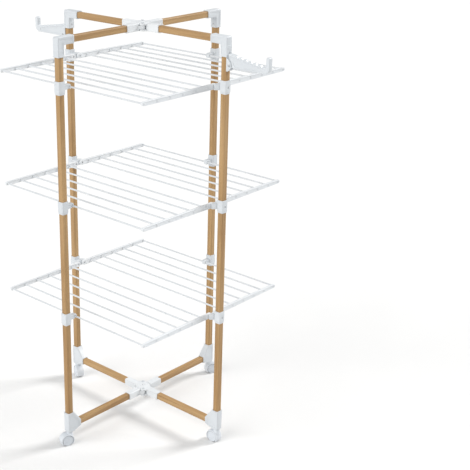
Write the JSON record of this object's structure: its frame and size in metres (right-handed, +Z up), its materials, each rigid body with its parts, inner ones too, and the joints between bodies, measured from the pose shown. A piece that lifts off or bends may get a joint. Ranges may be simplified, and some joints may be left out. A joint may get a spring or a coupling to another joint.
{
  "type": "clothes drying rack",
  "caption": "Folding tower clothes airer: square wood-look posts, crossbars with central hubs, hinged rod shelves, fold-down hanger arms, swivel castors.",
  "frame": {"origin": "on the floor, under the crossing of the two frames", "axes": "+X along the rods and frame A, towards the right-hand hanger arm; +Y horizontal, along the hinged leaves, away from the front leaf; +Z up"},
  "size_m": [1.142, 0.8639, 1.531],
  "materials": {
    "wood_foil": "light wood-grain foil on thin square steel tube, satin",
    "white_plastic": "white injection-moulded plastic, satin",
    "coated_rod": "white plastic-coated rods in white moulded end rails, satin",
    "castor_wheel": "pale grey moulded castor wheels, satin",
    "steel": "zinc-plated steel pins"
  },
  "bodies": {
    "frame_a": {"arm_pin_a_left": "steel", "arm_pin_a_right": "steel", "bottom_crossbar_a_left": "wood_foil", "bottom_crossbar_a_right": "wood_foil", "bottom_hub": "white_plastic", "bottom_hub_pin_back": "steel", "bottom_hub_pin_front": "steel", "corner_socket_a_left": "white_plastic", "corner_socket_a_right": "white_plastic", "hinge_collar_a_left_1": "white_plastic", "hinge_collar_a_left_2": "white_plastic", "hinge_collar_a_left_3": "white_plastic", "hinge_collar_a_right_1": "white_plastic", "hinge_collar_a_right_2": "white_plastic", "hinge_collar_a_right_3": "white_plastic", "post_a_left": "wood_foil", "post_a_right": "wood_foil", "top_crossbar_a_left": "wood_foil", "top_crossbar_a_right": "wood_foil", "top_elbow_a_left": "white_plastic", "top_elbow_a_right": "white_plastic", "top_hub": "white_plastic", "top_hub_pin_back": "steel", "top_hub_pin_front": "steel"},
    "leaf_front": {"bottom_crossbar_b_front": "wood_foil", "bottom_knuckle_b_front": "white_plastic", "clip_collar_b_front_1": "white_plastic", "clip_collar_b_front_2": "white_plastic", "clip_collar_b_front_3": "white_plastic", "corner_socket_b_front": "white_plastic", "post_b_front": "wood_foil", "top_crossbar_b_front": "wood_foil", "top_elbow_b_front": "white_plastic", "top_knuckle_b_front": "white_plastic"},
    "leaf_back": {"bottom_crossbar_b_back": "wood_foil", "bottom_knuckle_b_back": "white_plastic", "clip_collar_b_back_1": "white_plastic", "clip_collar_b_back_2": "white_plastic", "clip_collar_b_back_3": "white_plastic", "corner_socket_b_back": "white_plastic", "post_b_back": "wood_foil", "top_crossbar_b_back": "wood_foil", "top_elbow_b_back": "white_plastic", "top_knuckle_b_back": "white_plastic"},
    "castor_a_left": {"castor_housing_a_left": "white_plastic"},
    "castor_a_right": {"castor_housing_a_right": "white_plastic"},
    "castor_b_back": {"castor_housing_b_back": "white_plastic"},
    "castor_b_front": {"castor_housing_b_front": "white_plastic"},
    "wheels_a_left": {"castor_wheels_a_left": "castor_wheel"},
    "wheels_a_right": {"castor_wheels_a_right": "castor_wheel"},
    "wheels_b_back": {"castor_wheels_b_back": "castor_wheel"},
    "wheels_b_front": {"castor_wheels_b_front": "castor_wheel"},
    "arm_left": {"hanger_arm_a_left": "white_plastic"},
    "arm_right": {"hanger_arm_a_right": "white_plastic"},
    "back_wing_1": {"wing_back_1": "coated_rod"},
    "back_wing_2": {"wing_back_2": "coated_rod"},
    "back_wing_3": {"wing_back_3": "coated_rod"},
    "front_wing_1": {"wing_front_1": "coated_rod"},
    "front_wing_2": {"wing_front_2": "coated_rod"},
    "front_wing_3": {"wing_front_3": "coated_rod"}
  },
  "joints": [
    {"name": "leaf_front_fold", "type": "hinge", "parent": "frame_a", "child": "leaf_front", "pos_m": [0.02, -0.02, 0], "axis": [0, 0, 1], "range_deg": [0, 90]},
    {"name": "leaf_back_fold", "type": "hinge", "parent": "frame_a", "child": "leaf_back", "pos_m": [-0.02, 0.02, 0], "axis": [0, 0, 1], "range_deg": [0, 90]},
    {"name": "front_wing_1_fold", "type": "hinge", "parent": "frame_a", "child": "front_wing_1", "pos_m": [0, -0.016, 1.357], "axis": [1, 0, 0], "range_deg": [0, 90]},
    {"name": "front_wing_2_fold", "type": "hinge", "parent": "frame_a", "child": "front_wing_2", "pos_m": [0, -0.016, 0.937], "axis": [1, 0, 0], "range_deg": [0, 90]},
    {"name": "front_wing_3_fold", "type": "hinge", "parent": "frame_a", "child": "front_wing_3", "pos_m": [0, -0.016, 0.515], "axis": [1, 0, 0], "range_deg": [0, 90]},
    {"name": "back_wing_1_fold", "type": "hinge", "parent": "frame_a", "child": "back_wing_1", "pos_m": [0, 0.016, 1.357], "axis": [-1, 0, 0], "range_deg": [0, 90]},
    {"name": "back_wing_2_fold", "type": "hinge", "parent": "frame_a", "child": "back_wing_2", "pos_m": [0, 0.016, 0.937], "axis": [-1, 0, 0], "range_deg": [0, 90]},
    {"name": "back_wing_3_fold", "type": "hinge", "parent": "frame_a", "child": "back_wing_3", "pos_m": [0, 0.016, 0.515], "axis": [-1, 0, 0], "range_deg": [0, 90]},
    {"name": "hanger_arm_right_fold", "type": "hinge", "parent": "frame_a", "child": "arm_right", "pos_m": [0.408, 0, 1.434], "axis": [0, 1, 0], "range_deg": [0, 90]},
    {"name": "hanger_arm_left_fold", "type": "hinge", "parent": "frame_a", "child": "arm_left", "pos_m": [-0.408, 0, 1.434], "axis": [0, -1, 0], "range_deg": [0, 90]},
    {"name": "castor_a_right_swivel", "type": "hinge", "parent": "frame_a", "child": "castor_a_right", "pos_m": [0.384, 0, 0.05], "axis": [0, 0, 1], "continuous": true},
    {"name": "wheels_a_right_spin", "type": "hinge", "parent": "castor_a_right", "child": "wheels_a_right", "pos_m": [0.372, 0, 0.0205], "axis": [0, -1, 0], "continuous": true},
    {"name": "castor_a_left_swivel", "type": "hinge", "parent": "frame_a", "child": "castor_a_left", "pos_m": [-0.384, 0, 0.05], "axis": [0, 0, 1], "continuous": true},
    {"name": "wheels_a_left_spin", "type": "hinge", "parent": "castor_a_left", "child": "wheels_a_left", "pos_m": [-0.37312, -0.00507, 0.0205], "axis": [0.4226, 0.9063, 0], "continuous": true},
    {"name": "castor_b_front_swivel", "type": "hinge", "parent": "leaf_front", "child": "castor_b_front", "pos_m": [0, -0.394, 0.05], "axis": [0, 0, 1], "continuous": true},
    {"name": "wheels_b_front_spin", "type": "hinge", "parent": "castor_b_front", "child": "wheels_b_front", "pos_m": [-0.0041, -0.40528, 0.0205], "axis": [0.9397, -0.342, 0], "continuous": true},
    {"name": "castor_b_back_swivel", "type": "hinge", "parent": "leaf_back", "child": "castor_b_back", "pos_m": [0, 0.394, 0.05], "axis": [0, 0, 1], "continuous": true},
    {"name": "wheels_b_back_spin", "type": "hinge", "parent": "castor_b_back", "child": "wheels_b_back", "pos_m": [0.00507, 0.40488, 0.0205], "axis": [-0.9063, 0.4226, 0], "continuous": true}
  ],
  "couplings": [
    {"joint": "leaf_back_fold", "follows": "leaf_front_fold", "ratio": 1},
    {"joint": "front_wing_1_fold", "follows": "leaf_front_fold", "ratio": 1},
    {"joint": "front_wing_2_fold", "follows": "leaf_front_fold", "ratio": 1},
    {"joint": "front_wing_3_fold", "follows": "leaf_front_fold", "ratio": 1},
    {"joint": "back_wing_1_fold", "follows": "leaf_front_fold", "ratio": 1},
    {"joint": "back_wing_2_fold", "follows": "leaf_front_fold", "ratio": 1},
    {"joint": "back_wing_3_fold", "follows": "leaf_front_fold", "ratio": 1}
  ]
}
